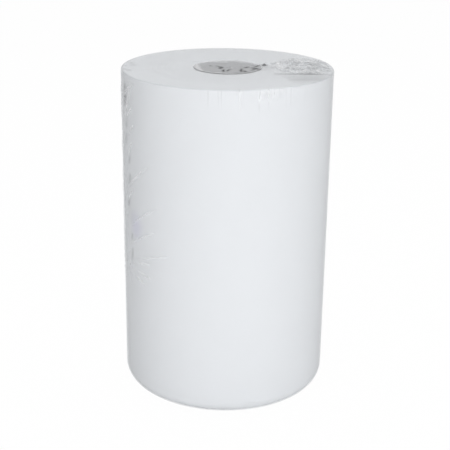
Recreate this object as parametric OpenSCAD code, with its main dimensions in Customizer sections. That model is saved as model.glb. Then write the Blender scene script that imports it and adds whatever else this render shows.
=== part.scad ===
// Nonwoven wipe roll, wound without a core and sealed in clear shrink film.
// It stands on its end. The origin is at the middle of its foot, with +Z up
// and the seal of the film down the left side, seen from the front (-Y).

/* [Roll] */
// Width of the wiping sheet, which is the height of the roll
sheet_w = 379; // [200:1:500]
// Diameter of the wound roll
roll_d = 239; // [160:1:320]
// Diameter of the hole that the winding mandrel leaves
bore_d = 76; // [40:1:100]
// Radius of the lower edge, pressed round by the film
lower_edge_r = 17; // [4:1:30]
// Radius of the upper edge
upper_edge_r = 1.5; // [0.5:0.5:10]
// Thickness of the last turn, the step at the tail and at the first turn
turn_t = 0.4; // [0.2:0.05:1]
// Direction of the tail's free edge, round from the right
tail_az = 62; // [0:1:359]

/* [Ends of the roll] */
// Number of bands of turns that show on an end
end_bands = 26; // [8:1:40]
// How far the deepest band of turns lies back
band_relief = 0.5; // [0.1:0.1:1.5]

/* [Film] */
// Thickness of the film's wall
film_t = 0.5; // [0.4:0.05:1]
// Slack between the film and the roll
film_gap = 0.2; // [0.1:0.05:1]
// Thickness of the gathered film under the roll
gather_t = 1; // [0.6:0.1:3]
// How far the film sags into the hole at the top
film_sag = 3; // [0.5:0.5:10]
// How far the folds of the gathered film under the roll lie back from the floor
foot_fold_h = 0.35; // [0.1:0.05:0.5]
// How far those folds run in from the rounded edge
foot_fold_in = 56; // [20:1:70]

/* [Rim pleats] */
// Height of a pleat at the rim
pleat_h = 0.7; // [0.2:0.1:2]
// How far the pleats run down the side
pleat_drop = 46; // [20:1:90]
// How far the pleats run in over an end
pleat_in = 34; // [10:1:60]

/* [Seal] */
// Direction of the seal at the pucker, round from the right
seal_az = 201; // [170:1:230]
// How far round the seal leans back on its way up to the rim
seal_lean = 8; // [-15:1:15]
// Turn of the seal's line across the top
seal_turn = 12; // [-30:1:30]
// How far behind the middle the seal crosses the top
seal_back = 8; // [-20:1:20]
// Height of the bunched seal across the top
seal_h = 2.8; // [1:0.1:6]
// Half the width of the bunched seal
seal_half_w = 4; // [2:0.5:8]
// How far the bunched seal wavers from its line
seal_waver = 1.6; // [0:0.1:4]
// Distance from one bunch of the seal to the next
bunch_pitch = 21; // [12:1:40]
// Height of the seal's bead down the side
bead_h = 1.3; // [0.3:0.1:3]
// Half the width of the bead
bead_half_w = 7; // [3:0.5:12]
// How far the bead runs on below the pucker
bead_run_out = 12; // [4:1:30]

/* [Creases] */
// Height of the creases that slant up from the seal
slant_h = 1.1; // [0.2:0.1:3]
// Distance from one slanting crease to the next
slant_pitch = 21; // [16:1:40]
// Rise of a slanting crease for each millimetre round, at the pucker
slant_rise_low = 0.35; // [0:0.05:1]
// Rise of a slanting crease for each millimetre round, at the rim
slant_rise_high = 1; // [0.2:0.05:2]
// Height of the flatter creases that cross them
cross_h = 0.55; // [0.1:0.05:2]
// Distance from one of the flatter creases to the next
cross_pitch = 27; // [16:1:50]
// Reach up and down the side of the flatter creases
cross_reach = 60; // [20:1:120]
// Height above the foot of the pucker where the seal ends
pucker_z = 144; // [100:1:180]
// Reach of the folds that fan out from the pucker
pucker_reach = 52; // [30:1:60]
// Distance from the pucker to where its folds are highest
pucker_peak = 21; // [5:1:28]
// Number of folds to each turn round the pucker
pucker_folds = 9; // [4:1:16]
// Height of the folds that fan out from the pucker
pucker_h = 1.5; // [0.3:0.1:3]
// Height of the crumpled film at the right of the top
crumple_h = 2; // [0.5:0.5:6]
// Distance from one crumple to the next
crumple_pitch = 17; // [12:1:40]
// How far in from the rim the middle of the crumpled film lies
crumple_in = 34; // [15:1:70]
// How far behind the hole's middle the middle of the crumpled film lies
crumple_back = 9; // [-30:1:40]
// Reach of the crumpled film to either side
crumple_wide = 43; // [20:1:60]
// Reach of the crumpled film to the front and the back
crumple_deep = 50; // [20:1:80]
// Height of the soft ripples at the left of the top
ripple_h = 0.9; // [0.2:0.1:2]
// Distance from one ripple to the next
ripple_pitch = 15; // [10:1:30]
// How far in from the rim the middle of the ripples lies
ripple_in = 27; // [10:1:60]
// Reach of the ripples
ripple_reach = 48; // [20:1:70]

/* [Hidden] */
$fn = 96;

bore_r = bore_d / 2;
roll_r = roll_d / 2;
roll_z0 = gather_t;
roll_z1 = roll_z0 + sheet_w;

// The room inside the film: the roll with its tail, and the slack round it
room_r = roll_r + turn_t + film_gap;
room_z1 = roll_z1 + film_gap;

// The film's outer face where nothing is creased
film_r = room_r + film_t;
film_z1 = room_z1 + film_t;
lower_r = lower_edge_r + film_t;
upper_r = upper_edge_r + film_t;

// The film's columns lie closer together round the seal
seal_half_turn = 34;
seal_cols = 32;
plain_cols = 112;
cols = seal_cols + plain_cols;
seal_span = film_r * seal_half_turn * PI / 180;

// Rows of the film: over the foot, round both edges, down the side, over the end as
// far as the hole, and where it hangs in the hole
foot_rows = 3;
lower_rows = 4;
upper_rows = 2;
pleat_rows = 4;
end_rows = 8;
hang_rows = 5;
seal_rows = 38;
// The rows down the side crowd together toward the rim by this power
row_crowding = 1.5;

// The film's inner face is smooth, so it has fewer columns and rows
room_cols = 96;
room_hang_rows = 3;

// A share from 0 to 1 that differs from one copy to the next
function uneven(i) = abs(sin(i * i * 37 + i * 101));

// 1 in the middle and 0 from the reach outwards, with no kink
function swell(d, reach) = abs(d) >= reach ? 0 : pow(1 - pow(d / reach, 2), 2);

// The direction of a column
function col_az(j) =
    j <= seal_cols
        ? seal_az + seal_half_turn * (2 * j / seal_cols - 1)
        : seal_az + seal_half_turn + (360 - 2 * seal_half_turn) * (j - seal_cols) / plain_cols;

// Corners of a rounded edge, whose flats touch the true arc: [radius, height, out, up]
function edge_rows(mid_r, mid_z, r, from, n) = [
    for (k = [0:n - 1])
        let (a = from + (k + 0.5) * 90 / n, corner = r / cos(45 / n))
        [mid_r + corner * cos(a), mid_z + corner * sin(a), cos(a), sin(a)]
];

foot_r = film_r - lower_r;
top_r = film_r - upper_r;

// Rings round the whole film from the foot's middle to the top's: [radius, height, out, up]
rings = concat(
    [for (k = [1:foot_rows]) [foot_r * sqrt(k / foot_rows), 0, 0, -1]],
    edge_rows(foot_r, lower_r, lower_r, -90, lower_rows),
    [for (k = [0:pleat_rows - 1])
        [film_r, film_z1 - upper_r - pleat_drop * pow(1 - k / pleat_rows, row_crowding), 1, 0]],
    edge_rows(top_r, film_z1 - upper_r, upper_r, 0, upper_rows),
    [for (k = [0:end_rows]) [top_r + (bore_r - top_r) * k / end_rows, film_z1, 0, 1]],
    [for (k = [1:hang_rows - 1]) [bore_r * (1 - k / hang_rows), film_z1, 0, 1]]
);
ring_count = len(rings);

// The two rings between which only the columns at the seal have more rows
low_ring = foot_rows + lower_rows - 1;
high_ring = low_ring + 1;

function seal_row_z(k) =
    let (low = rings[low_ring][1], high = rings[high_ring][1])
    low + (high - low) * k / (seal_rows + 1);

// A share that swings between a least share and 1, once in each pitch
function swing(least, d, pitch) = least + (1 - least) * (0.5 + 0.5 * sin(360 * d / pitch));

// Rounded ridges, one in each pitch, with wider hollows between them: 0 to 1
function ridges(d, pitch) = pow(swing(0, d, pitch), 2);

// Share of the way from the pucker up to the rim
function share_up(z) = max(0, (z - pucker_z) / (film_z1 - pucker_z));

// Pleats: every second column stands out, each to its own height
least_pleat = 0.35;
function pleat(j) = (j % 2) * pleat_h * (least_pleat + (1 - least_pleat) * uneven(j));

// Length round the side from the seal's line to a column, at a height
function off_line(j, z) = film_r * (col_az(j) - seal_az + seal_lean * share_up(z)) * PI / 180;

// The seal's bead, from the pucker to the rim, at a length a round from its line
bead_pitch = 12;
least_bead = 0.2;
function bead(a, z) =
    bead_h * swell(a, bead_half_w) * (z > pucker_z ? 1 : swell(z - pucker_z, bead_run_out))
        * swing(least_bead, z, bead_pitch);

// Creases that slant up and away from the seal, steeper near the rim, and flatter ones
// that cross them above the pucker
function slant(a, z) =
    let (rise = slant_rise_low + (slant_rise_high - slant_rise_low) * share_up(z))
    slant_h * swell(a, seal_span) * swell(film_z1 - z, film_z1 - pucker_z)
        * ridges(z - rise * abs(a), slant_pitch)
    + cross_h * swell(a, seal_span) * swell(z - pucker_z - cross_reach, cross_reach)
        * ridges(z - slant_rise_low * abs(a), cross_pitch);

// Folds that fan out from the pucker, like spokes
function fan(a, z) =
    let (d = norm([a, z - pucker_z]), turn = atan2(z - pucker_z, abs(a)))
    pucker_h * swell(d - pucker_peak, pucker_reach - pucker_peak)
        * pow(0.5 + 0.5 * cos(turn * pucker_folds), 2);

// Distance from the seal's line across the top, which wavers as a bunched film does
waver_pitch = 28;
fine_waver_pitch = 12;
function seal_off(x, y) =
    (y - seal_back) * cos(seal_turn) - x * sin(seal_turn)
    + seal_waver * (sin(360 * x / waver_pitch) + 0.5 * sin(360 * x / fine_waver_pitch));

// The bunched seal across the top, which runs out toward the rim
least_bunch = 0.1;
function seal_fin(x, y) =
    seal_h * swell(seal_off(x, y), seal_half_w) * swing(least_bunch, x + bunch_pitch / 9, bunch_pitch)
        * swell(norm([x, y]), film_r + pleat_in);

// Crumples in the film right of the hole: two sets of ridges, one bent, that cross
crumple_x = film_r - crumple_in;
crumple_ways = [24, -67];
crumple_bend = 25;
function along(x, y, way) = x * cos(way) + y * sin(way);
function crumple(x, y) =
    let (
        away = norm([(x - crumple_x) / crumple_wide, (y - crumple_back) / crumple_deep]),
        turn = 360 / crumple_pitch,
        bend = crumple_bend * sin(turn * y / 2)
    )
    crumple_h * swell(away, 1)
        * abs(sin(turn * along(x, y, crumple_ways[0]) + bend) * sin(turn * along(x, y, crumple_ways[1])));

// Soft ripples at the left of the top, which run nearly front to back
ripple_x = ripple_in - film_r;
ripple_way = -14;
function ripple(x, y) =
    ripple_h * swell(norm([x - ripple_x, y]), ripple_reach) * ridges(along(x, y, ripple_way), ripple_pitch);

// The film over the hole hangs below the top
function hang(r) = r >= bore_r ? 0 : -film_sag * (1 - pow(r / bore_r, 2));

// Folds under the foot lie up against the roll, so the foot itself stays flat
function foot_fold(j, r) = -foot_fold_h * (j % 2) * uneven(j + 5) * swell(foot_r - r, foot_fold_in);

// How far the film stands out from its plain face at a column of a ring
function side_lift(j, z) =
    let (a = off_line(j, z))
    pleat(j) * swell(film_z1 - z, pleat_drop + upper_r)
    + (j <= seal_cols ? bead(a, z) + slant(a, z) + fan(a, z) : 0);

function top_lift(j, r) =
    let (x = r * cos(col_az(j)), y = r * sin(col_az(j)))
    pleat(j) * swell(film_r - r, pleat_in)
    + seal_fin(x, y) + crumple(x, y) + ripple(x, y) + hang(r);

function lift(j, ring) =
    ring[3] < -0.9 ? foot_fold(j, ring[0])
    : ring[3] > 0.9 ? top_lift(j, ring[0])
    : ring[1] < pucker_z - pucker_reach ? 0
    : side_lift(j, ring[1]);

function film_point(j, r, z, out, up, d) =
    let (wide = (r + out * d) / cos((180 - seal_half_turn) / plain_cols))
    [wide * cos(col_az(j)), wide * sin(col_az(j)), z + up * d];

function ring_points(ring) = [
    for (j = [0:cols - 1]) film_point(j, ring[0], ring[1], ring[2], ring[3], lift(j, ring))
];

function seal_points(k) = [
    for (j = [0:seal_cols])
        let (z = seal_row_z(k))
        film_point(j, film_r, z, 1, 0, side_lift(j, z) * (j % seal_cols == 0 ? 0 : 1))
];

// Where a point is in the list: on a ring, or on one of the rows at the seal
function at(i, j) = i * cols + (j % cols);
seal_start = ring_count * cols;
function at_seal(k, j) =
    k == 0 ? at(low_ring, j)
    : k == seal_rows + 1 ? at(high_ring, j)
    : seal_start + (k - 1) * (seal_cols + 1) + j;
foot_mid = seal_start + seal_rows * (seal_cols + 1);
top_mid = foot_mid + 1;

// Two triangles, split along the crease that climbs away from the seal
function patch(low_a, low_b, high_b, high_a, rising) =
    rising
        ? [[low_a, high_a, high_b], [low_a, high_b, low_b]]
        : [[low_a, high_a, low_b], [low_b, high_a, high_b]];

film_points = concat(
    [for (ring = rings) each ring_points(ring)],
    [for (k = [1:seal_rows]) each seal_points(k)],
    [[0, 0, 0], [0, 0, film_z1 - film_sag + seal_fin(0, 0)]]
);

film_faces = concat(
    // Rings all the way round, but for the band with the rows at the seal
    [for (i = [0:ring_count - 2], j = [0:cols - 1])
        if (i != low_ring)
            each patch(at(i, j), at(i, j + 1), at(i + 1, j + 1), at(i + 1, j), j >= seal_cols / 2)],
    // The rows at the seal
    [for (k = [0:seal_rows], j = [0:seal_cols - 1])
        each patch(at_seal(k, j), at_seal(k, j + 1), at_seal(k + 1, j + 1), at_seal(k + 1, j),
            j >= seal_cols / 2)],
    // The plain side
    [for (j = [seal_cols + 1:cols - 2])
        each patch(at(low_ring, j), at(low_ring, j + 1), at(high_ring, j + 1), at(high_ring, j), true)],
    // The two strips that join the rows at the seal to the plain side
    [for (k = [0:seal_rows]) [at_seal(k, seal_cols), at_seal(k + 1, seal_cols), at(high_ring, seal_cols + 1)]],
    [[at(low_ring, seal_cols), at(high_ring, seal_cols + 1), at(low_ring, seal_cols + 1)]],
    [for (k = [0:seal_rows]) [at_seal(k, 0), at(high_ring, cols - 1), at_seal(k + 1, 0)]],
    [[at(low_ring, cols - 1), at(high_ring, cols - 1), at(low_ring, 0)]],
    // The middles of the foot and the top
    [for (j = [0:cols - 1]) [foot_mid, at(0, j), at(0, j + 1)]],
    [for (j = [0:cols - 1]) [top_mid, at(ring_count - 1, j + 1), at(ring_count - 1, j)]]
);

// Half a section of a standing cylinder with rounded edges, from the axis out
module rounded_section(r, z0, z1, low_r, high_r) {
    translate([0, z0]) square([r - low_r, z1 - z0]);
    translate([0, z0 + low_r]) square([r - high_r, z1 - z0 - low_r]);
    translate([0, z0 + low_r]) square([r, z1 - z0 - low_r - high_r]);
    translate([r - low_r, z0 + low_r]) circle(low_r);
    translate([r - high_r, z1 - high_r]) circle(high_r);
}

// The bands of turns that lie back from an end, from the hole to the edge. A cut goes past
// the face that it opens, and the shallowest band has the least share of the relief
past = 1;
least_band = 0.3;
module bands_back(from_r, to_r, z, up) {
    band_w = (to_r - from_r) / end_bands;
    for (i = [0:end_bands - 1])
        if (i % 3 != 1)
            let (back = band_relief * (least_band + (1 - least_band) * uneven(i + 3)))
            translate([from_r + i * band_w, up ? z - back : z - past]) square([band_w, back + past]);
}

// Section of the wound turns, grown outwards by the part of a turn that is wound on
module turns_section(grown) {
    difference() {
        rounded_section(roll_r + grown, roll_z0, roll_z1, lower_edge_r, upper_edge_r);
        translate([0, roll_z0 - past]) square([bore_r + grown, sheet_w + 2 * past]);
        bands_back(bore_r + grown, roll_r + grown - upper_edge_r, roll_z1, true);
        bands_back(bore_r + grown, roll_r + grown - lower_edge_r, roll_z0, false);
    }
}

// The turns wind outwards round two centres, half a turn's step apart, so the
// tail and the first turn each end in a straight edge up the roll
module wipe_roll() {
    color("whitesmoke")
    rotate(tail_az) {
        rotate_extrude(angle = 180) turns_section(0);
        translate([turn_t / 2, 0, 0]) rotate(180) rotate_extrude(angle = 180) turns_section(turn_t / 2);
    }
}

// The space that the film closes round, which dips at the top where the film sags. Its
// flats touch the true cylinder, and its edges have their corners where the outer face has
room_rings = concat(
    edge_rows(room_r - lower_edge_r, roll_z0 + lower_edge_r, lower_edge_r, -90, lower_rows),
    edge_rows(room_r - upper_edge_r, room_z1 - upper_edge_r, upper_edge_r, 0, upper_rows),
    [for (k = [0:room_hang_rows - 1])
        let (r = bore_r * (1 - k / room_hang_rows))
        [r, room_z1 + hang(r)]]
);
room_count = len(room_rings);

function room_at(i, j) = i * room_cols + (j % room_cols);
room_foot_mid = room_count * room_cols;
room_top_mid = room_foot_mid + 1;

room_points = concat(
    [for (ring = room_rings, j = [0:room_cols - 1])
        let (wide = ring[0] / cos(180 / room_cols), az = 360 * j / room_cols)
        [wide * cos(az), wide * sin(az), ring[1]]],
    [[0, 0, roll_z0], [0, 0, room_z1 - film_sag]]
);

room_faces = concat(
    [for (i = [0:room_count - 2], j = [0:room_cols - 1])
        [room_at(i, j), room_at(i + 1, j), room_at(i + 1, j + 1), room_at(i, j + 1)]],
    [for (j = [0:room_cols - 1]) [room_foot_mid, room_at(0, j), room_at(0, j + 1)]],
    [for (j = [0:room_cols - 1])
        [room_top_mid, room_at(room_count - 1, j + 1), room_at(room_count - 1, j)]]
);

module room() {
    polyhedron(points = room_points, faces = room_faces, convexity = 4);
}

module shrink_film() {
    color("aliceblue", 0.4)
    difference() {
        polyhedron(points = film_points, faces = film_faces, convexity = 6);
        room();
    }
}

wipe_roll();
shrink_film();
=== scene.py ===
"""A coreless roll of nonwoven wiping cloth, standing on its end in clear shrink film."""
import math
import bpy
import numpy as np
from mathutils import Matrix, Vector


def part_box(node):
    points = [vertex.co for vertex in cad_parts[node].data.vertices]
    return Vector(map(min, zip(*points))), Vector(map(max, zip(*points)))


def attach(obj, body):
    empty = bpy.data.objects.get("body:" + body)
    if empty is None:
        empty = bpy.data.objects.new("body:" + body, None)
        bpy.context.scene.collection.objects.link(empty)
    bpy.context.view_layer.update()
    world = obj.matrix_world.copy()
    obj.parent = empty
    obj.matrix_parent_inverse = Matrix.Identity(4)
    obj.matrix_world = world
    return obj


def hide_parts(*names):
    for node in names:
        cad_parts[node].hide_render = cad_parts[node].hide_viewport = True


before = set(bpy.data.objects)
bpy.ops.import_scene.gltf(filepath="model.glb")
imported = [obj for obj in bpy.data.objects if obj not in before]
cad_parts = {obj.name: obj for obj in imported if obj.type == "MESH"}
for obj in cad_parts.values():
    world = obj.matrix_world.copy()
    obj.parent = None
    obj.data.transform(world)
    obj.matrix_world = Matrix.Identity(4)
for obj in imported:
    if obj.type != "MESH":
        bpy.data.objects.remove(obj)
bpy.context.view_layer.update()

# Lengths in this script are in millimetres, and a mesh turns them into metres
M_PER_MM = 0.001


def box_mm(node):
    """A CAD node's lowest and highest corner, in millimetres."""
    low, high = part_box(node)
    return np.array(low) / M_PER_MM, np.array(high) / M_PER_MM


# The roll and its hole
roll_low, roll_high = box_mm("wipe_roll")
roll_r = (roll_high[0] - roll_low[0] + roll_high[1] - roll_low[1]) / 4
roll_z0 = roll_low[2]
roll_z1 = roll_high[2]
bore_r = 38.0
turn_t = 0.4
lower_edge_r = 17.0
upper_edge_r = 1.5
tail_az = 62.0

# The film over it, where nothing is creased
film_t = 0.5
film_gap = 0.2
film_sag = 3.0
film_r = roll_r + turn_t / 2 + film_gap + film_t
film_z1 = roll_z1 + film_gap + film_t
film_lower_r = lower_edge_r + film_t
film_upper_r = upper_edge_r + film_t

# The seal of the film: down the left side to the pucker, and across the top
seal_az = 201.0
seal_lean = 8.0
seal_turn = 12.0
seal_back = 8.0
pucker_z = 144.0

# The camera that the photograph's outline gives
camera_up = 19.87
camera_away = 10.222 * film_r
camera_roll = -0.01386
camera_tilt = 0.00027
camera_pan = -0.00039
camera_lens = 82.393


# Meshes

def pole_faces(ring, pole, upward):
    """Triangles from the points of a closed ring to one more point."""
    a, b = ring, np.roll(ring, -1)
    return np.stack([a, b, np.full(len(ring), pole)] if upward else [b, a, np.full(len(ring), pole)], -1)


def make_piece(name, points, faces, uv, smooth=True):
    """An object at the origin from points in millimetres, lists of faces and a UV per point."""
    mesh = bpy.data.meshes.new(name)
    flat = [tuple(f) for block in faces for f in block.tolist()]
    mesh.from_pydata((points * M_PER_MM).tolist(), [], flat)
    layer = mesh.uv_layers.new(name="unrolled")
    corner = np.empty(len(mesh.loops), np.int32)
    mesh.loops.foreach_get("vertex_index", corner)
    layer.data.foreach_set("uv", (uv[corner] * M_PER_MM).astype(np.float32).ravel())
    mesh.polygons.foreach_set("use_smooth", np.full(len(mesh.polygons), smooth))
    mesh.update()
    piece = bpy.data.objects.new(name, mesh)
    bpy.context.scene.collection.objects.link(piece)
    return piece


def add_share(piece, name, values):
    """A number per point that the piece's material reads."""
    layer = piece.data.attributes.new(name, "FLOAT", "POINT")
    layer.data.foreach_set("value", values.astype(np.float32).ravel())


def swell(d, reach):
    """1 in the middle and 0 from the reach outwards: the square of 1 - (d / reach) squared."""
    return np.clip(1 - (d / reach) ** 2, 0, None) ** 2


def step_up(d, low, high):
    """0 below low, 1 above high, and a smooth cubic step between them."""
    t = np.clip((d - low) / (high - low), 0, 1)
    return t * t * (3 - 2 * t)


def crease(u, v, start, end, half_w, height=1.0, bow=0.0, sharp=1.6):
    """A ridge along the line from start to end in the flat coordinates u and v. Its height
    falls off sideways as exp(-(distance / half width) ** sharp) and toward both ends as the
    root of a half sine. The line bows sideways by a parabola."""
    start, end = np.asarray(start, float), np.asarray(end, float)
    length = np.hypot(*(end - start))
    along = (end - start) / length
    t = ((u - start[0]) * along[0] + (v - start[1]) * along[1]) / length
    side = (v - start[1]) * along[0] - (u - start[0]) * along[1]
    inside = (t > 0) & (t < 1)
    taper = np.where(inside, np.sin(np.pi * np.clip(t, 0, 1)), 0) ** 0.5
    off = np.abs(side - bow * 4 * t * (1 - t)) / half_w
    return height * taper * np.exp(-np.minimum(off, 6) ** sharp)


def edge_rows(mid_r, mid_z, r, start, count):
    """Rows of a rounded edge, a quarter circle upward from its start angle: radius, height, out, up."""
    a = np.radians(start + (np.arange(count) + 0.5) * 90 / count)
    return np.stack([mid_r + r * np.cos(a), mid_z + r * np.sin(a), np.cos(a), np.sin(a)], 1)


def flat_rows(radii, z, up):
    """Rows over an end: radius, height, out, up."""
    return np.stack([radii, np.full_like(radii, z), 0 * radii, np.full_like(radii, up)], 1)


def side_rows(heights, r):
    """Rows down a side: radius, height, out, up."""
    return np.stack([np.full_like(heights, r), heights, 0 * heights + 1, 0 * heights], 1)


# The film

# Its columns and rows lie close together round the seal, from the one direction to the other
seal_from_az = 162.0
seal_to_az = 246.0
seal_cols = 120
plain_cols = 368
foot_rows = 14
lower_rows = 7
low_side_rows = 6
crease_z0 = 92.0
crease_rows = 230
rim_rows = 14
rim_drop = 44.0
upper_rows = 4
top_rows = 60
inner_cols = 160

# Creases that slant away from the seal: direction and height at the seal and at the far
# end, and half the width
SEAL_CREASES = (
    (196, 353, 214, 373, 1.9),
    (200, 330, 209, 365, 1.9),
    (202, 329, 212, 348, 1.5),
    (207, 314, 213, 328, 1.3),
    (205, 290, 211, 308, 1.5),
    (205, 253, 225, 286, 2.0),
    (204, 236, 211, 253, 1.6),
    (208, 209, 231, 241, 1.5),
    (210, 189, 230, 213, 1.5),
    (219, 176, 239, 188, 1.2),
    (215, 168, 226, 171, 1.1),
    (216, 157, 227, 155, 1.1),
    (213, 149, 221, 143, 1.3),
)
# Gathers between them, where the film lies in many plies: direction, height, half the
# length, half the width and how dark its painted shade is
SEAL_GATHERS = (
    (200, 361, 9, 3.4, 0.8),
    (200, 350, 7, 3.4, 0.9),
    (202, 325, 7, 2.8, 0.4),
    (201, 307, 7, 2.8, 0.45),
    (206, 285, 6, 2.2, 0.5),
    (206, 262, 8, 2.4, 0.6),
    (204, 234, 6, 2.6, 0.7),
    (209, 219, 9, 6.0, 0.1),
    (208, 195, 5, 2.4, 0.5),
    (208, 172, 10, 1.8, 0.5),
)
# Creases of the top: both ends from the middle, half the width, and how strong their painted highlight and
# their painted shade are
TOP_CREASES = (
    (52, -31, 117, -32, 1.6, 0.4, 0.0),
    (50, -36, 117, -37, 4.2, 0.0, 1.0),
    (57, -49, 112, -44, 2.0, 0.35, 0.0),
    (57, -54, 108, -50, 2.4, 0.0, 0.4),
    (64, -67, 112, -58, 12.0, 0.0, 0.5),
    (33, -2, 52, -2, 15.0, 0.0, 0.3),
    (59, -14, 61, 32, 4.0, 0.6, 0.0),
    (-116, 14, -105, 14, 2.4, 0.0, 0.5),
    (-119, -1, -114, -1, 2.4, 0.0, 0.5),
    (-112, 1, -103, 2, 2.4, 0.0, 0.45),
    (-118, -22, -112, -22, 2.6, 0.0, 0.6),
    (-112, -28, -106, -27, 2.6, 0.0, 0.5),
    (-82, 9, -68, 10, 2.0, 0.0, 0.2),
    (-74, 32, -61, 33, 2.0, 0.0, 0.2),
    (-79, 23, -72, 24, 2.0, 0.0, 0.2),
    (-46, 27, -24, 24, 3.0, 0.0, 0.2),
    (4, 36, 24, 36, 6.0, 0.0, 0.2),
)
# Painted black shadows between the folds of the bunched seal that stand over the hole: both ends and half
# the width
HOLE_FOLD_SHADOWS = (
    (-21, 12, -17, 13, 1.5),
    (-14, 14, -9, 13, 1.3),
    (-9, 8, -6, 14, 1.6),
    (-9, 0, -5, 9, 2.0),
    (-4, -18, -4, 0, 1.8),
    (-1, -14, 4, 2, 1.5),
    (16, -22, 16, 4, 1.8),
    (19, 4, 25, 9, 2.6),
    (17, -10, 21, -25, 1.9),
    (26, 5, 36, -15, 2.0),
    (27, -16, 33, -2, 1.7),
    (30, 4, 38, 11, 2.2),
    (40, 9, 45, 16, 3.4),
)
# The painted shade of gathers behind the seal is this much fainter than that in front of it
far_gather = 0.3
# The crumpled patch: its middle, its reach to either side and to the front and the back
crumple_x = 87.0
crumple_y = 10.0
crumple_wide = 40.0
crumple_deep = 50.0
crumple_count = 210
# The ripples at the left of the top: their middle and their reach
ripple_x = -84.0
ripple_y = -30.0
ripple_reach = 60.0
# The lilac patch by the seal: its direction and height, and its reach round and upright
lilac_az = 213.0
lilac_z = 211.0
lilac_wide = 19.0
lilac_tall = 24.0
# The painted highlight strip right under the rim: its direction and height
strip_az = 291.0
strip_z = 374.0
# The direction that the painted highlight streaks under the rim lie round
streak_az = 284.0


def columns():
    """The columns' directions in degrees: first those close together round the seal."""
    near = np.linspace(seal_from_az, seal_to_az, seal_cols + 1)
    far = np.linspace(seal_to_az, seal_from_az + 360, plain_cols + 1)[1:-1]
    return np.concatenate([near, far])


def rows_below():
    """The film's plain outline from the foot's middle up to where the creases start."""
    foot_r = film_r - film_lower_r
    foot = foot_r * np.sqrt(np.arange(1, foot_rows + 1) / (foot_rows + 0.5))
    side = np.linspace(film_lower_r + 4, crease_z0, low_side_rows)
    return np.concatenate([
        flat_rows(foot, 0.0, -1),
        edge_rows(foot_r, film_lower_r, film_lower_r, -90, lower_rows),
        side_rows(side, film_r),
    ])


def rows_above():
    """The film's plain outline from the top of the side over the rim to the top's middle."""
    top_r = film_r - film_upper_r
    rim_z = film_z1 - film_upper_r
    return np.concatenate([
        side_rows(np.array([rim_z]), film_r),
        edge_rows(top_r, rim_z, film_upper_r, 0, upper_rows),
        flat_rows(top_r * (1 - np.arange(top_rows) / top_rows), film_z1, 1),
    ])


def spread(rows, az):
    """Every row at every direction: direction, radius, height, out and up of each point."""
    return np.column_stack([np.tile(az, len(rows)), np.repeat(rows, len(az), 0)])


def seal_distance(az, z):
    """Length round the side from the seal's line, which leans back toward the rim."""
    share = np.clip((z - pucker_z) / (film_z1 - pucker_z), 0, 1)
    off = (az - seal_az + seal_lean * share + 180) % 360 - 180
    return film_r * np.radians(off)


def rim_pleats(arc, below, ring):
    """Fine pleats over the rim. Each is a ridge down the film, from some way in over the end
    to some way down the side, with arc the length round the roll and below the length down
    from the rim. ring is the film's length round."""
    rng = np.random.default_rng(11)
    count = 150
    out = np.zeros_like(arc)
    for k in range(count):
        at = (k + rng.uniform(-0.3, 0.3)) / count * ring
        down = rng.uniform(10, 26) + 26 * rng.random() ** 3
        inward = rng.uniform(2, 9)
        half_w = rng.uniform(1.3, 2.0)
        height = rng.uniform(0.03, 0.12)
        lean = rng.uniform(-1.5, 1.5)
        near = (arc - at + ring / 2) % ring - ring / 2
        out += crease(near, below, (0, -inward), (lean, down), half_w, height)
    return out


def seal_bead(a, z):
    """The bead of the seal from the pucker up to the rim: a ridge along its line that wavers
    by a few tenths of a millimetre."""
    waver = 0.8 * np.sin(z / 7.0) + 0.5 * np.sin(z / 3.1)
    return 0.9 * np.exp(-((a - waver) / 1.6) ** 2) * step_up(z, pucker_z - 4, pucker_z + 10)


def side_creases(az, z):
    """The creases and gathers at the seal: their height, the painted highlight on the crests and
    the painted shade in the gathers. Those in front of the seal have their like behind it."""
    height = np.zeros_like(az)
    light = np.zeros_like(az)
    dark = np.zeros_like(az)
    deg = math.radians(1) * film_r
    for side in (1, -1):
        u = side * seal_distance(az, z)
        v = z if side > 0 else z + 7.0
        for start_az, start_z, end_az, end_z, half_w in SEAL_CREASES:
            share = [min(max((h - pucker_z) / (film_z1 - pucker_z), 0), 1) for h in (start_z, end_z)]
            start = ((start_az - seal_az + seal_lean * share[0]) * deg, start_z)
            end = ((end_az - seal_az + seal_lean * share[1]) * deg, end_z)
            crest = crease(u, v, start, end, half_w, bow=1.0)
            height += 0.6 * crest
            # Painted highlight on the crest
            light += 0.6 * crest
        for mid_az, mid_z, half_l, half_w, strength in SEAL_GATHERS:
            share = min(max((mid_z - pucker_z) / (film_z1 - pucker_z), 0), 1)
            mid = (mid_az - seal_az + seal_lean * share) * deg
            start, end = (mid - 0.35 * half_l, mid_z - half_l), (mid + 0.35 * half_l, mid_z + half_l)
            fainter = 1 if side > 0 else far_gather
            # Painted shade in the gather
            dark += strength * fainter * crease(u, v, start, end, half_w)
    return height, light, dark


def small_creases(a, z):
    """Short creases between the long ones: their height, their painted highlight, and the painted shadow 3
    mm below each one's lower half.
    """
    rng = np.random.default_rng(23)
    height = np.zeros_like(a)
    light = np.zeros_like(a)
    dark = np.zeros_like(a)
    at = pucker_z + 6.0
    while at < film_z1 - 8:
        share = (at - pucker_z) / (film_z1 - pucker_z)
        for side in (1, -1):
            slope = math.radians(26 + 34 * share + rng.uniform(-8, 8))
            length = rng.uniform(8, 18)
            start = np.array([side * rng.uniform(0.5, 6), at + rng.uniform(-3, 3)])
            end = start + length * np.array([side * math.cos(slope), math.sin(slope)])
            part = crease(a, z, start, end, rng.uniform(1.0, 1.6), bow=rng.uniform(-1, 1))
            height += 0.35 * part
            # Painted highlight on the crease
            light += rng.uniform(0.05, 0.35) * part
            low_end = start + 0.5 * (end - start)
            # Painted shadow 3 mm below the crease's lower half
            dark += rng.uniform(0.0, 0.15) * crease(a, z + 3, start, low_end, 2.2)
        at += rng.uniform(6, 11)
    return height, light, dark


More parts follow.
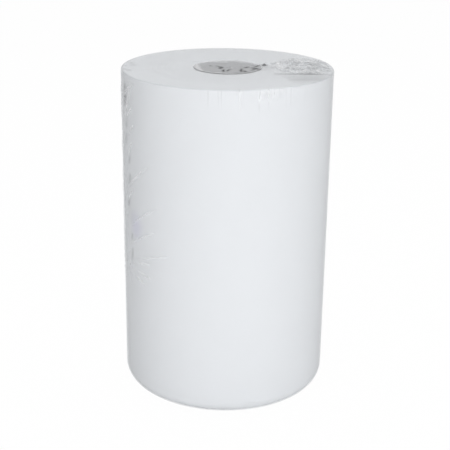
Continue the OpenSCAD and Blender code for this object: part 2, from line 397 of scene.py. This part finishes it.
def pucker_folds(a, z):
    """Folds that fan out from the pucker where the seal ends, like spokes: their height and
    their painted highlight."""
    rng = np.random.default_rng(31)
    height = np.zeros_like(a)
    light = np.zeros_like(a)
    for side in (1, -1):
        for turn in (74, 52, 38, 22, 8, -8, -24, -42, -60):
            way = math.radians(turn + rng.uniform(-4, 4))
            length = rng.uniform(24, 44)
            start = (side * 3 * math.cos(way), pucker_z + 18 + 4 * math.sin(way))
            end = (side * length * math.cos(way), pucker_z + 18 + length * math.sin(way))
            part = crease(a, z, start, end, rng.uniform(1.1, 1.8), bow=rng.uniform(-2.5, 2.5))
            height += rng.uniform(0.3, 0.7) * part
            # Painted highlight on the fold
            light += rng.uniform(0.05, 0.25) * part
    return height, light


def seal_offset(x, y):
    """Distance from the seal's line across the top, which is turned by a few degrees and wavers."""
    turn = math.radians(seal_turn)
    across = (y - seal_back) * math.cos(turn) - x * math.sin(turn)
    return across + 1.5 * np.sin(x / 4.3) + 0.8 * np.sin(x / 1.9)


def top_seal(x, y):
    """The bunched seal across the top, as a ridge whose height jumps about along it."""
    off = seal_offset(x, y)
    jump = 0.55 + 0.3 * np.sin(x / 2.3 + 1) + 0.25 * np.sin(x / 1.1)
    reach = step_up(-np.hypot(x, y), -film_r + 6, -film_r + 30)
    stand = 0.35 + 1.2 * step_up(x, -40, -10)
    return stand * jump * np.exp(-(off / 2.2) ** 2) * reach


def top_creases(x, y):
    """The creases of the top: their painted highlight and their painted shade."""
    light = np.zeros_like(x)
    dark = np.zeros_like(x)
    for x0, y0, x1, y1, half_w, lightness, darkness in TOP_CREASES:
        part = crease(x, y, (x0, y0), (x1, y1), half_w, bow=1.0)
        # Painted highlight and painted shade along the crease
        light += lightness * part
        dark += darkness * part
    return light, dark


def hole_fold_shadows(x, y):
    """How black the painted shadows between the folds over the hole are."""
    black = np.zeros_like(x)
    for x0, y0, x1, y1, half_w in HOLE_FOLD_SHADOWS:
        black += crease(x, y, (x0, y0), (x1, y1), 0.8 * half_w, bow=0.8, sharp=2)
    return np.clip(black, 0, 1)


def hole_cover(x, y):
    """How far white plies of the bunched seal hide the hole: its left end, a wavy strip along
    its front edge and a part along its back edge."""
    left = step_up(-25 - 0.18 * (y + 28) - x, -2, 3)
    front = step_up(-26 - 6 * swell(x - 12, 16) + 1.6 * np.sin(x / 2.1) - y, -4, 4)
    back = 0.6 * step_up(y, 20, 32) * (1 - swell(x - 7, 9))
    in_hole = step_up(-np.hypot(x, y), -bore_r - 1, -bore_r + 1)
    return in_hole * np.maximum(np.maximum(left, front), np.maximum(back, 0.45))


def crumple_share(x, y):
    """1 inside the crumpled patch right of the hole, and 0 outside it."""
    away = np.hypot((x - crumple_x) / crumple_wide, (y - crumple_y) / crumple_deep)
    return step_up(-away, -1.05, -0.75)


def crumples(x, y):
    """Short creases at all angles in the crumpled film: their height, their painted highlight,
    and the painted shadow 3 mm toward the front of each."""
    rng = np.random.default_rng(47)
    height = np.zeros_like(x)
    light = np.zeros_like(x)
    dark = np.zeros_like(x)
    for k in range(crumple_count):
        mid = np.array([rng.uniform(48, 117), rng.uniform(-34, 58)])
        way = rng.uniform(0, math.pi)
        half = rng.uniform(3, 9) * np.array([math.cos(way), math.sin(way)])
        part = crease(x, y, mid - half, mid + half, rng.uniform(0.9, 1.7), bow=rng.uniform(-1.5, 1.5))
        height += rng.uniform(0.2, 0.9) * part
        # Painted highlight on the crumple
        light += rng.uniform(0, 0.6) * part
        # Painted shadow 3 mm toward the front of the crumple
        shade = crease(x, y + 3.0, mid - half, mid + half, 1.6)
        dark += rng.uniform(0, 0.5) * shade
    return np.minimum(height, 1.8), light, dark


def top_ripples(x, y):
    """Soft ripples in the film at the left of the top, which follow the rim."""
    r = np.hypot(x, y)
    where = swell(np.hypot(x - ripple_x, y - ripple_y), ripple_reach)
    return 0.5 * where * (0.5 + 0.5 * np.sin((r + 0.12 * y) / 2.6)) ** 2


def lit_strip(az, z):
    """A painted highlight: the pale strip right under the rim, right of the front."""
    return 0.4 * swell(az - strip_az, 11) * swell(z - strip_z, 8)


def film_shape(az, row_r, row_z, out, up):
    """How far the creased film stands out from its plain outline, and the shares that its
    material reads: folds whitened partly by the haze of plies and partly by painted highlight,
    painted shade in the dark folds, painted highlight streaks under the rim, the crumpled
    patch, the plies over the hole, painted black shadows between the folds there, painted
    shade on the rim's rounding and the lilac patch."""
    arc = film_r * np.radians(az)
    ring = 2 * math.pi * film_r
    a = seal_distance(az, row_z)
    x = row_r * np.cos(np.radians(az))
    y = row_r * np.sin(np.radians(az))
    on_side = np.where(up < 0, 0, out)
    on_top = np.where(up > 0, up, 0)
    below = np.where(up > 0.5, row_r - film_r + film_upper_r, film_z1 - film_upper_r - row_z)
    above_foot = step_up(row_z, 30, 70)
    long, long_light, long_dark = side_creases(az, row_z)
    short, short_light, short_dark = small_creases(a, row_z)
    fan, fan_light = pucker_folds(a, row_z)
    crumple, crumple_light, crumple_dark = crumples(x, y)
    top_light, top_dark = top_creases(x, y)
    patch = crumple_share(x, y)
    pleats = rim_pleats(arc % ring, below, ring) * np.where(up < -0.1, 0, 1)
    foot_pleats = rim_pleats(arc % ring, row_z - film_lower_r, ring) * np.where(up < -0.1, 0.0, 0.5)
    side = seal_bead(a, row_z) + np.minimum(long + short + fan, 1.6)
    top = top_seal(x, y) + patch * crumple + top_ripples(x, y)
    hang = np.where((row_r < bore_r) & (up > 0.5), -film_sag * (1 - (row_r / bore_r) ** 2), 0)
    lift = pleats + above_foot * foot_pleats + on_side * above_foot * side + on_top * top + hang
    # Whiter folds: partly the haze of plies, partly painted highlight
    light = on_side * (long_light + short_light + fan_light) + on_top * (top_light + patch * crumple_light)
    # Painted highlight: the pale strip under the rim
    light += on_side * lit_strip(az, row_z)
    # Painted shade in the folds and beside the creases
    dark = on_side * (long_dark + short_dark) + on_top * (top_dark + patch * crumple_dark)
    # Painted highlight streaks under the rim, mostly right of the front, on the lit side
    streak = swell(below, 26) * on_side * (0.06 + 0.94 * swell(az - streak_az, 32))
    round_by = (az - lilac_az) * math.radians(1) * film_r
    lilac = swell(np.hypot(round_by / lilac_wide, (row_z - lilac_z) / lilac_tall), 1)
    shares = {
        "fold_haze_and_highlight": np.clip(light, 0, 1),
        "fold_painted_shade": np.clip(dark, 0, 1),
        "rim_streak_highlight": streak,
        "crumpled": patch * on_top,
        "hole_cover": hole_cover(x, y) * on_top,
        # Painted black shadows between the folds over the hole
        "hole_fold_shadow": hole_fold_shadows(x, y) * on_top,
        # Painted shade on the rim's rounding, weaker under the painted highlight strip
        "rim": 2 * on_side * on_top * (1 - 0.7 * swell(az - strip_az, 14)),
        "lilac": lilac * on_side,
    }
    return lift, shares


def quads(ids):
    """Quads of a grid of point numbers whose rows go up and whose columns go round."""
    return np.stack([ids[:-1, :-1], ids[:-1, 1:], ids[1:, 1:], ids[1:, :-1]], -1).reshape(-1, 4)


def closed(ids):
    """A grid of point numbers with its first column again after its last."""
    return np.concatenate([ids, ids[:, :1]], 1)


def zipper(left, left_z, right, right_z):
    """Triangles between two upright lines of points, seen from outside, whose heights differ.
    At each step the line whose next point is lower moves on."""
    faces = []
    i = j = 0
    while i < len(left) - 1 or j < len(right) - 1:
        if j == len(right) - 1 or (i < len(left) - 1 and left_z[i + 1] <= right_z[j + 1]):
            faces.append((left[i], right[j], left[i + 1]))
            i += 1
        else:
            faces.append((left[i], right[j], right[j + 1]))
            j += 1
    return np.array(faces)


def inner_rows():
    """The film's smooth inner face as rows from the foot's middle to the top's."""
    in_r = film_r - film_t
    in_z1 = film_z1 - film_t
    top = np.array([in_r - upper_edge_r, 80, bore_r, 30, 20, 10])
    rows = np.concatenate([
        flat_rows(np.array([50.0, in_r - lower_edge_r]), roll_z0, -1),
        edge_rows(in_r - lower_edge_r, roll_z0 + lower_edge_r, lower_edge_r, -90, 5),
        side_rows(np.linspace(roll_z0 + lower_edge_r + 3, in_z1 - upper_edge_r, 4), in_r),
        edge_rows(in_r - upper_edge_r, in_z1 - upper_edge_r, upper_edge_r, 0, 2),
        flat_rows(top, in_z1, 1),
    ])
    over_hole = (rows[:, 0] < bore_r) & (rows[:, 3] > 0.5)
    rows[:, 1] -= np.where(over_hole, film_sag * (1 - (rows[:, 0] / bore_r) ** 2), 0)
    return rows


def make_film():
    """The film: its creased outer face and its smooth inner face, each a closed skin. A point
    lies at its row's radius and height, moved along the row's normal by its lift."""
    az = columns()
    low, high = rows_below(), rows_above()
    crease_z = np.linspace(crease_z0, high[0, 1], crease_rows + 2)[1:-1]
    rim_z = high[0, 1] - rim_drop * np.linspace(1, 0, rim_rows + 1)[:-1] ** 1.2
    seal_az_cols = az[:seal_cols + 1]
    plain_az_cols = az[seal_cols + 1:]
    blocks = [
        spread(low, az),
        spread(high, az),
        spread(side_rows(crease_z, film_r), seal_az_cols),
        spread(side_rows(rim_z, film_r), plain_az_cols),
        spread(flat_rows(np.zeros(1), 0.0, -1), az[:1]),
        spread(flat_rows(np.zeros(1), film_z1, 1), az[:1]),
    ]
    starts = np.cumsum([0] + [len(block) for block in blocks])
    low_ids, high_ids, seal_ids, plain_ids = [
        np.arange(starts[k], starts[k + 1]).reshape(-1, width)
        for k, width in enumerate((len(az), len(az), seal_cols + 1, plain_cols - 1))
    ]
    seal_ids = np.concatenate([low_ids[-1:, :seal_cols + 1], seal_ids, high_ids[:1, :seal_cols + 1]])
    plain_ids = np.concatenate([low_ids[-1:, seal_cols + 1:], plain_ids, high_ids[:1, seal_cols + 1:]])
    point = np.concatenate(blocks)
    lift, shares = film_shape(*point.T)
    turn = np.radians(point[:, 0])
    r = point[:, 1] + point[:, 3] * lift
    outer = np.stack([r * np.cos(turn), r * np.sin(turn), point[:, 2] + point[:, 4] * lift], 1)
    outer_uv = np.stack([film_r * turn, point[:, 2] + film_r - point[:, 1]], 1)

    in_turn = 2 * math.pi * np.arange(inner_cols) / inner_cols
    rows = inner_rows()
    inner = np.stack([
        (rows[:, :1] * np.cos(in_turn)).ravel(),
        (rows[:, :1] * np.sin(in_turn)).ravel(),
        np.repeat(rows[:, 1], inner_cols),
    ], 1)
    inner = np.concatenate([inner, [[0, 0, roll_z0], [0, 0, film_z1 - film_t - film_sag]]])
    inner_ids = len(outer) + np.arange(len(inner) - 2).reshape(-1, inner_cols)
    inner_pole = len(outer) + len(inner) - 2

    z = point[:, 2]
    left_side, right_side = (seal_ids[:, -1], plain_ids[:, 0]), (plain_ids[:, -1], seal_ids[:, 0])
    faces = [
        quads(closed(low_ids)),
        quads(closed(high_ids)),
        quads(seal_ids),
        quads(plain_ids),
        zipper(left_side[0], z[left_side[0]], left_side[1], z[left_side[1]]),
        zipper(right_side[0], z[right_side[0]], right_side[1], z[right_side[1]]),
        pole_faces(low_ids[0], starts[4], False),
        pole_faces(high_ids[-1], starts[5], True),
        quads(closed(inner_ids))[:, ::-1],
        pole_faces(inner_ids[0], inner_pole, True),
        pole_faces(inner_ids[-1], inner_pole + 1, False),
    ]
    film = make_piece("film_wrap", np.concatenate([outer, inner]), faces,
                      np.concatenate([outer_uv, np.zeros((len(inner), 2))]))
    for name, values in shares.items():
        add_share(film, name, np.concatenate([values, np.zeros(len(inner))]))
    return film


# The roll

roll_cols = 360
end_rings = 110
foot_rings = 60
bore_rows = 16
# The step of the tail's edge takes up this much of the circle
tail_step_deg = 0.18


def cloth_end(radii, count_seed, depth):
    """How far back each ring of turns lies on an end: slow drift plus a jump from ring to ring."""
    rng = np.random.default_rng(count_seed)
    jumps = rng.uniform(0, 1, len(radii))
    drift = 0.5 + 0.5 * np.sin(radii / 9.0 + rng.uniform(0, 6))
    return depth * (0.55 * jumps + 0.45 * drift)


def roll_rows():
    """The roll's outline as rows, from the hole's lower edge out over the foot, up the side
    and in over the top to the hole: radius, height, out, up."""
    foot = np.linspace(bore_r + 0.6, roll_r - lower_edge_r, foot_rings)
    top = np.linspace(roll_r - upper_edge_r, bore_r + 0.6, end_rings)
    side = np.linspace(roll_z0 + lower_edge_r + 2, roll_z1 - upper_edge_r - 1, 12)
    bore = np.linspace(roll_z1 - 1.2, roll_z0 + 1.2, bore_rows)
    foot_part = flat_rows(foot, roll_z0, -1)
    foot_part[:, 1] += cloth_end(foot, 5, 0.35)
    top_part = flat_rows(top, roll_z1, 1)
    top_part[:, 1] -= cloth_end(top, 6, 0.35)
    bore_part = side_rows(bore, bore_r)
    bore_part[:, 2] = -1
    return np.concatenate([
        foot_part,
        edge_rows(roll_r - lower_edge_r, roll_z0 + lower_edge_r, lower_edge_r, -90, 6),
        side_rows(side, roll_r),
        edge_rows(roll_r - upper_edge_r, roll_z1 - upper_edge_r, upper_edge_r, 0, 3),
        top_part,
        bore_part,
    ])


def bore_creases(arc, z):
    """Upright creases in the innermost turns, where the mandrel was drawn out."""
    rng = np.random.default_rng(77)
    ring = 2 * math.pi * bore_r
    out = np.zeros_like(arc)
    for k in range(64):
        at = rng.uniform(0, ring)
        near = (arc - at + ring / 2) % ring - ring / 2
        mid = rng.uniform(roll_z0, roll_z1)
        half = rng.uniform(60, 200)
        start = (rng.uniform(-2, 2), mid - half)
        half_w = rng.uniform(0.8, 1.6)
        depth = rng.uniform(0.2, 0.6)
        out += crease(near, z, start, (0, mid + half), half_w, depth)
    return out


def make_roll():
    """The wound cloth. A row's radius grows by half a turn's step over the circle that starts
    at the tail, as on a spiral, so the tail's edge and the first turn's edge are steps."""
    rows = roll_rows()
    step = np.arange(roll_cols) / (roll_cols - 1)
    turn = np.radians(tail_az + (360 - tail_step_deg) * step)
    grow = turn_t * step
    r = np.repeat(rows[:, :1], roll_cols, 1)
    z = np.repeat(rows[:, 1][:, None], roll_cols, 1)
    in_bore = np.repeat((rows[:, 2] < -0.5)[:, None], roll_cols, 1)
    arc = bore_r * np.repeat(turn[None, :], len(rows), 0)
    r = r - np.where(in_bore, bore_creases(arc % (2 * math.pi * bore_r), z), 0) * 0.6
    r = r + grow[None, :] - turn_t / 2
    points = np.stack([r * np.cos(turn), r * np.sin(turn), z], -1).reshape(-1, 3)
    along = np.concatenate([[0], np.cumsum(np.hypot(np.diff(rows[:, 0]), np.diff(rows[:, 1])))])
    uv = np.stack([np.repeat(roll_r * (turn - turn[0])[None, :], len(rows), 0),
                   np.repeat(along[:, None], roll_cols, 1)], -1).reshape(-1, 2)
    ids = np.arange(len(points)).reshape(len(rows), roll_cols)
    roll = make_piece("wound_cloth", points, [quads(closed(np.concatenate([ids, ids[:1]])))], uv)
    add_share(roll, "in_bore", in_bore.ravel())
    return roll


# Materials

class Value:
    """A socket of numbers, on which +, -, * and ** and the named functions add Math nodes."""

    def __init__(self, maker, socket):
        self.maker = maker
        self.socket = socket

    def _math(self, operation, *others, clamp=False):
        settings = {"operation": operation, "use_clamp": clamp}
        node = self.maker.node("ShaderNodeMath", settings, [self, *others])
        return Value(self.maker, node.outputs[0])

    def __add__(self, other):
        return self._math("ADD", other)

    def __sub__(self, other):
        return self._math("SUBTRACT", other)

    def __rsub__(self, other):
        node = self.maker.node("ShaderNodeMath", {"operation": "SUBTRACT"}, [other, self])
        return Value(self.maker, node.outputs[0])

    def __mul__(self, other):
        return self._math("MULTIPLY", other)

    def __pow__(self, other):
        return self._math("POWER", other)

    def clamped(self):
        return self._math("ADD", 0.0, clamp=True)

    __radd__ = __add__
    __rmul__ = __mul__


class Maker:
    """Builds one material."""

    def __init__(self, name):
        self.material = bpy.data.materials.new(name)
        self.material.use_nodes = True
        self.tree = self.material.node_tree
        self.tree.nodes.clear()
        self.output = self.tree.nodes.new("ShaderNodeOutputMaterial")

    def node(self, kind, settings=None, inputs=None):
        """A node of a type, with its settings set first and then its sockets, by name or number."""
        node = self.tree.nodes.new(kind)
        for key, value in (settings or {}).items():
            setattr(node, key, value)
        pairs = enumerate(inputs) if isinstance(inputs, list) else (inputs or {}).items()
        for key, value in pairs:
            if isinstance(value, Value):
                value = value.socket
            if isinstance(value, bpy.types.NodeSocket):
                self.tree.links.new(value, node.inputs[key])
            else:
                node.inputs[key].default_value = value
        return node

    def value(self, kind, output, settings=None, inputs=None):
        """One output of a new node, as a Value."""
        return Value(self, self.node(kind, settings, inputs).outputs[output])

    def place(self, output="Object", scale=(1, 1, 1)):
        """Coordinates in metres, from the object or its UV map, stretched by a scale."""
        source = self.node("ShaderNodeTexCoord").outputs[output]
        mapping = self.node("ShaderNodeMapping", {}, {"Vector": source, "Scale": scale})
        return mapping.outputs["Vector"]

    def noise(self, place, scale, detail):
        """Cloudy noise from 0 to 1, at so many swings to each metre along each axis."""
        inputs = {"Vector": self.place(place, scale), "Scale": 1.0, "Detail": detail}
        return self.value("ShaderNodeTexNoise", "Fac", {}, inputs)

    def share(self, name):
        """A number that the mesh holds at each point."""
        return self.value("ShaderNodeAttribute", "Fac", {"attribute_name": name})

    def mix(self, share, first, second):
        """Two shaders mixed by a share: the first where it is 0 and the second where it is 1."""
        return self.node("ShaderNodeMixShader", {}, {0: share, 1: first.outputs[0], 2: second.outputs[0]})

    def blend(self, share, first, second):
        """Colours mixed by a share: the first where it is 0 and the second where it is 1."""
        settings = {"data_type": "RGBA", "blend_type": "MIX"}
        node = self.node("ShaderNodeMix", settings, {0: share, 6: first, 7: second})
        return node.outputs[2]

    def ply(self, colour, normal):
        """A shader for film that lies in several plies."""
        settings = {"Base Color": colour, "Roughness": 0.35, "Normal": normal}
        return self.node("ShaderNodeBsdfPrincipled", {}, settings)

    def finish(self, shader):
        self.tree.links.new(shader.outputs[0], self.output.inputs["Surface"])
        return self.material


CLOTH_WHITE = (0.83, 0.835, 0.845, 1)
CLOTH_SHADE = (0.79, 0.795, 0.805, 1)
# Painted shade and painted light for the cloth in the hole
BORE_PAINTED_SHADE = (0.72, 0.725, 0.735, 1)
BORE_PAINTED_LIGHT = (0.90, 0.905, 0.915, 1)
FILM_TINT = (0.985, 0.99, 0.995, 1)
# Grey of the painted shade at the film's glancing edges and on its rim
FILM_EDGE_SHADE = (0.55, 0.56, 0.57, 1)
FILM_LILAC = (0.80, 0.78, 0.93, 1)
PLY_WHITE = (0.59, 0.595, 0.605, 1)
# Whiter plies: partly the haze of several plies, partly painted highlight
FOLD_HAZE_AND_HIGHLIGHT = (0.97, 0.975, 0.985, 1)
# Grey of the painted shade in the folds
FOLD_PAINTED_SHADE = (0.12, 0.125, 0.13, 1)
# Black of the painted shadows between the folds over the hole
FOLD_PAINTED_SHADOW = (0.02, 0.02, 0.022, 1)
FLOOR_WHITE = (0.96, 0.96, 0.96, 1)


def nonwoven_material():
    """Matt white cloth: fine fibres run round the roll, with soft clouds of denser fibre. In
    the hole the colour holds painted shade and painted light: darker and lighter upright
    streaks that stand for the shade and light on the creased first turn."""
    m = Maker("nonwoven_cloth")
    fibres = m.noise("UV", (260, 1900, 1), 3.0)
    clouds = m.noise("Object", (60, 60, 40), 4.0)
    streaks = m.noise("UV", (420, 5, 1), 2.0)
    tone = (fibres * 0.35 + clouds * 0.65).clamped()
    # Painted shade and painted light: upright streaks in the hole's colour
    bore_painted_streaks = ((streaks - 0.5) * 3.0 + 0.5).clamped()
    in_bore = m.share("in_bore")
    outside = m.blend(tone, CLOTH_SHADE, CLOTH_WHITE)
    inside = m.blend(bore_painted_streaks, BORE_PAINTED_SHADE, BORE_PAINTED_LIGHT)
    bump = m.node("ShaderNodeBump", {}, {"Height": fibres, "Strength": 0.15, "Distance": 0.0002})
    cloth = m.node("ShaderNodeBsdfPrincipled", {}, {
        "Base Color": m.blend(in_bore, outside, inside),
        "Roughness": 0.9,
        "Specular IOR Level": 0.25,
        "Sheen Weight": 0.08,
        "Normal": bump.outputs["Normal"],
    })
    return m.finish(cloth)


def film_material():
    """Clear film. It mirrors more at a glancing angle, by the fifth power of how far it
    turns away, and lets less through there and on the rim, where a grey paints shade on it.
    Its creased crests are whiter, partly from the haze of several plies and partly by painted
    highlight, and its gathers carry painted shade. Painted highlight streaks run down from the
    rim, painted glints and painted shade specks fill the crumples, white plies lie over the
    hole, and painted black shadows lie between the folds there. The film has a lilac cast in
    one place by the seal."""
    m = Maker("clear_film")
    fine = m.noise("Object", (90, 90, 30), 2.0)
    bump = m.node("ShaderNodeBump", {}, {"Height": fine, "Strength": 0.2, "Distance": 0.0006})
    normal = bump.outputs["Normal"]
    facing = m.value("ShaderNodeLayerWeight", "Facing", {}, {"Blend": 0.5, "Normal": normal})
    mirror = (facing ** 5 * 0.25 + 0.04).clamped()
    # Painted shade: a grey at a glancing angle and on the rim's rounding
    edge = ((facing ** 4 * 2.2).clamped() * 0.22 + m.share("rim") * 0.22).clamped()
    specks = m.noise("Object", (400, 400, 400), 2.0)
    # Streaks of the pleats that carry the painted highlight under the rim
    pleats = ((m.noise("UV", (330, 9, 1), 1.0) - 0.58) * 9.0).clamped()
    # Painted glints and painted shade specks in the crumples
    painted_glint_specks = ((m.noise("Object", (260, 150, 260), 3.0) - 0.58) * 10.0).clamped()
    painted_shade_specks = ((m.noise("Object", (170, 260, 170), 3.0) - 0.56) * 10.0).clamped()
    crumpled = m.share("crumpled")
    # Painted highlight, partly the haze of plies: crests, rim streaks and glints in the crumples
    light = m.share("fold_haze_and_highlight") * (specks * 0.5 + 0.5) + m.share("rim_streak_highlight") * pleats * 0.3
    light = (light + crumpled * painted_glint_specks * 0.35).clamped() * 0.8
    # Painted shade: in the gathers, beside the creases and in the crumples
    dark = m.share("fold_painted_shade") * (specks * 0.6 + 0.4) * 0.65 + crumpled * painted_shade_specks * 0.45
    dark = dark.clamped() * 0.85
    # Painted shadow: black between the folds over the hole
    painted_shadow_share = (m.share("hole_fold_shadow") * (specks * 2.4 - 0.2)).clamped() * 0.85
    clear = m.node("ShaderNodeBsdfTransparent", {}, {"Color": FILM_TINT})
    edge_shade = m.node("ShaderNodeBsdfTransparent", {}, {"Color": FILM_EDGE_SHADE})
    lilac = m.node("ShaderNodeBsdfTransparent", {}, {"Color": FILM_LILAC})
    gloss = m.node("ShaderNodeBsdfGlossy", {}, {"Color": (1, 1, 1, 1), "Roughness": 0.1, "Normal": normal})
    cover = m.node("ShaderNodeBsdfDiffuse", {}, {"Color": PLY_WHITE, "Normal": normal})
    # Black diffuse that paints the shadows between the folds over the hole
    black = m.node("ShaderNodeBsdfDiffuse", {}, {"Color": FOLD_PAINTED_SHADOW, "Normal": normal})
    skin = m.mix(edge, clear, edge_shade)
    skin = m.mix(m.share("lilac") * 0.3, skin, lilac)
    skin = m.mix(mirror, skin, gloss)
    skin = m.mix(m.share("hole_cover"), skin, cover)
    skin = m.mix(light, skin, m.ply(FOLD_HAZE_AND_HIGHLIGHT, normal))
    skin = m.mix(dark, skin, m.ply(FOLD_PAINTED_SHADE, normal))
    return m.finish(m.mix(painted_shadow_share, skin, black))


def floor_material():
    """White floor that the camera and mirrors see almost evenly lit, with the soft shadow kept."""
    m = Maker("white_floor")
    rays = m.node("ShaderNodeLightPath")
    seen = Value(m, rays.outputs["Is Camera Ray"]) + Value(m, rays.outputs["Is Glossy Ray"])
    seen = (seen + Value(m, rays.outputs["Is Transmission Ray"])).clamped()
    diffuse = m.node("ShaderNodeBsdfDiffuse", {}, {"Color": FLOOR_WHITE})
    glow = m.node("ShaderNodeEmission", {}, {"Color": (1, 1, 1, 1), "Strength": 1.0})
    mixed = m.node("ShaderNodeMixShader", {}, {0: seen * 0.98, 1: diffuse.outputs[0], 2: glow.outputs[0]})
    return m.finish(mixed)


# The studio

def make_world():
    """An even pale room. The camera, mirrors and glass see it white."""
    world = bpy.data.worlds.new("studio")
    bpy.context.scene.world = world
    world.use_nodes = True
    tree = world.node_tree
    tree.nodes.clear()
    rays = tree.nodes.new("ShaderNodeLightPath")
    room = tree.nodes.new("ShaderNodeBackground")
    room.inputs["Color"].default_value = (1, 1, 1, 1)
    room.inputs["Strength"].default_value = world_level
    white = tree.nodes.new("ShaderNodeBackground")
    white.inputs["Color"].default_value = (1, 1, 1, 1)
    white.inputs["Strength"].default_value = 1.0
    seen = tree.nodes.new("ShaderNodeMath")
    seen.operation = "MAXIMUM"
    tree.links.new(rays.outputs["Is Camera Ray"], seen.inputs[0])
    tree.links.new(rays.outputs["Is Glossy Ray"], seen.inputs[1])
    either = tree.nodes.new("ShaderNodeMath")
    either.operation = "MAXIMUM"
    tree.links.new(seen.outputs[0], either.inputs[0])
    tree.links.new(rays.outputs["Is Transmission Ray"], either.inputs[1])
    mix = tree.nodes.new("ShaderNodeMixShader")
    tree.links.new(either.outputs[0], mix.inputs[0])
    tree.links.new(room.outputs[0], mix.inputs[1])
    tree.links.new(white.outputs[0], mix.inputs[2])
    out = tree.nodes.new("ShaderNodeOutputWorld")
    tree.links.new(mix.outputs[0], out.inputs["Surface"])


# Soft lamps round the roll: name, direction (270 is the front), distance from the roll's
# axis, height and the height that it looks at, width and length in metres, and watts
LAMPS = (
    ("key", 287, 1.9, 0.1, 0.1, 0.4, 2.0, 26),
    ("left", 228, 2.2, 0.2, 0.2, 1.0, 2.0, 6),
    ("top", 90, 0.3, 2.3, 0.4, 1.4, 1.4, 21),
)
world_level = 0.48


def make_lamp(name, direction, away, height, aim, wide, tall, watts):
    """A soft lamp that looks at the roll's axis, and that the film doesn't mirror."""
    data = bpy.data.lights.new(name, "AREA")
    data.shape = "RECTANGLE"
    data.size = wide
    data.size_y = tall
    data.energy = watts
    lamp = bpy.data.objects.new(name, data)
    turn = math.radians(direction)
    lamp.location = (away * math.cos(turn), away * math.sin(turn), height)
    lamp.rotation_euler = (Vector((0, 0, aim)) - lamp.location).to_track_quat("-Z", "Y").to_euler()
    lamp.visible_glossy = False
    bpy.context.scene.collection.objects.link(lamp)


def make_floor():
    """A wide level floor at the roll's foot."""
    half = 6.0
    mesh = bpy.data.meshes.new("floor")
    corners = [(-half, -half, 0), (half, -half, 0), (half, half, 0), (-half, half, 0)]
    mesh.from_pydata(corners, [], [(0, 1, 2, 3)])
    floor = bpy.data.objects.new("floor", mesh)
    mesh.materials.append(floor_material())
    bpy.context.scene.collection.objects.link(floor)


def make_camera():
    """The camera that the photograph's outline gives, which looks down at the roll's middle."""
    data = bpy.data.cameras.new("camera")
    data.lens = camera_lens
    data.sensor_width = 36
    data.clip_end = 100
    camera = bpy.data.objects.new("camera", data)
    rise = math.radians(camera_up)
    back = Vector((0, -math.cos(rise), math.sin(rise)))
    right = Vector((1, 0, 0))
    up = back.cross(right)
    level = Matrix((right, up, back))
    roll = Matrix.Rotation(camera_roll, 3, "Z")
    tilt = Matrix.Rotation(camera_tilt, 3, "X")
    pan = Matrix.Rotation(camera_pan, 3, "Y")
    turned = roll @ tilt @ pan @ level
    place = (back * camera_away + Vector((0, 0, film_z1 / 2))) * M_PER_MM
    camera.matrix_world = Matrix.Translation(place) @ turned.transposed().to_4x4()
    bpy.context.scene.collection.objects.link(camera)
    bpy.context.scene.camera = camera


def dress(piece, node, material):
    """Gives a piece its material and lets it stand for a CAD node."""
    piece.data.materials.append(material)
    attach(piece, "root")
    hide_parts(node)


make_camera()
make_world()
make_floor()
for lamp in LAMPS:
    make_lamp(*lamp)
dress(make_roll(), "wipe_roll", nonwoven_material())
dress(make_film(), "shrink_film", film_material())

bpy.context.scene.view_settings.view_transform = "Standard"
